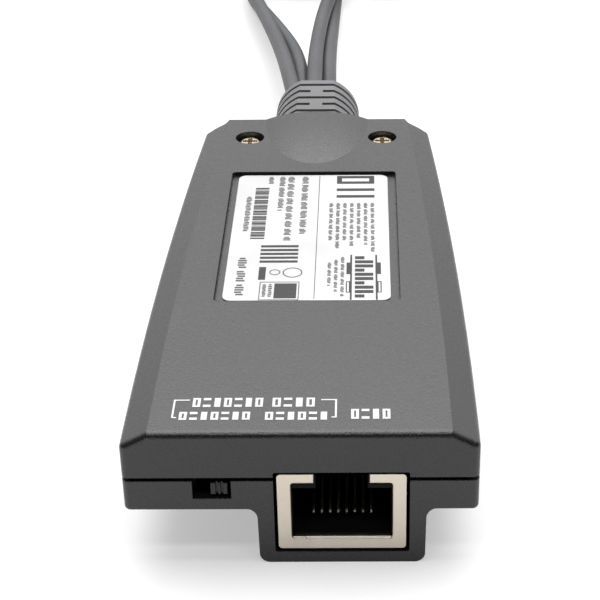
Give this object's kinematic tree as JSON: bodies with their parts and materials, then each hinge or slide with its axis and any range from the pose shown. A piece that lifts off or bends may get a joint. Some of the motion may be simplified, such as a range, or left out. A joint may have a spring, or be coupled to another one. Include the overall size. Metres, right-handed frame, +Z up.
{
  "type": "kvm interface module",
  "caption": "Flat moulded module with a network jack, a slide switch and a ribbed boot; cords to VGA, USB and audio plugs, put away as tied hanks.",
  "frame": {"origin": "middle of the box round the module and its boot, in plan, at the height of the surface it stands on", "axes": "+X to the right of the label, +Y from the jack end to the cords, +Z up, out of the labelled cover"},
  "size_m": [0.0563, 0.3543, 0.0204],
  "materials": {
    "housing": "fine matt moulding texture",
    "screw": "yellow zinc plate",
    "label": "satin printed film",
    "boot": "soft moulded plastic",
    "shield": "bright nickel plate",
    "jack_plastic": "smooth moulding",
    "gold": "gold flash",
    "board": "solder mask",
    "chip": "matt epoxy",
    "can": "drawn can",
    "capacitor": "drawn can",
    "header": "smooth moulding",
    "lead": "smooth insulation",
    "knob": "smooth moulding",
    "cord": "satin jacket",
    "tie": "hook and loop strap",
    "plug_grey": "soft moulded plastic",
    "vga_blue": "smooth moulding",
    "audio_green": "soft moulded plastic",
    "mic_pink": "soft moulded plastic"
  },
  "bodies": {
    "module": {"audio_cord": "cord", "audio_cord_end": "cord", "audio_plug_grip": "audio_green", "audio_plug_pin": "gold", "cable_boot": "boot", "capacitors": "capacitor", "casing_screws": "screw", "circuit_board": "board", "cord_headers": "header", "cord_tie": "tie", "crystal": "can", "inner_leads": "lead", "jack_body": "jack_plastic", "jack_contacts": "gold", "jack_shield": "shield", "label": "label", "left_hank": "cord", "lower_cover": "housing", "main_chip": "chip", "memory_chip": "chip", "mic_cord": "cord", "mic_cord_end": "cord", "mic_plug_grip": "mic_pink", "mic_plug_pin": "gold", "right_hank": "cord", "switch_frame": "can", "transformer": "chip", "upper_cover": "housing", "usb_cord": "cord", "usb_cord_end": "cord", "usb_plug_body": "plug_grey", "usb_plug_contacts": "gold", "usb_plug_shell": "shield", "usb_plug_tongue": "header", "vga_cord": "cord", "vga_cord_end": "cord", "vga_plug_body": "plug_grey", "vga_plug_insulator": "vga_blue", "vga_plug_pins": "gold", "vga_plug_shell": "shield"},
    "knob": {"switch_knob": "knob"},
    "left_thumbscrew": {"vga_thumbscrew_left": "plug_grey"},
    "right_thumbscrew": {"vga_thumbscrew_right": "plug_grey"}
  },
  "joints": [
    {"name": "switch_slide", "type": "slide", "parent": "module", "child": "knob", "axis": [-1, 0, 0], "range_m": [0, 0.0017]},
    {"name": "left_thumbscrew_turn", "type": "hinge", "parent": "module", "child": "left_thumbscrew", "pos_m": [-0.032, 0.29475, 0.0075], "axis": [0, 1, 0], "continuous": true},
    {"name": "right_thumbscrew_turn", "type": "hinge", "parent": "module", "child": "right_thumbscrew", "pos_m": [-0.007, 0.29475, 0.0075], "axis": [0, 1, 0], "continuous": true}
  ]
}
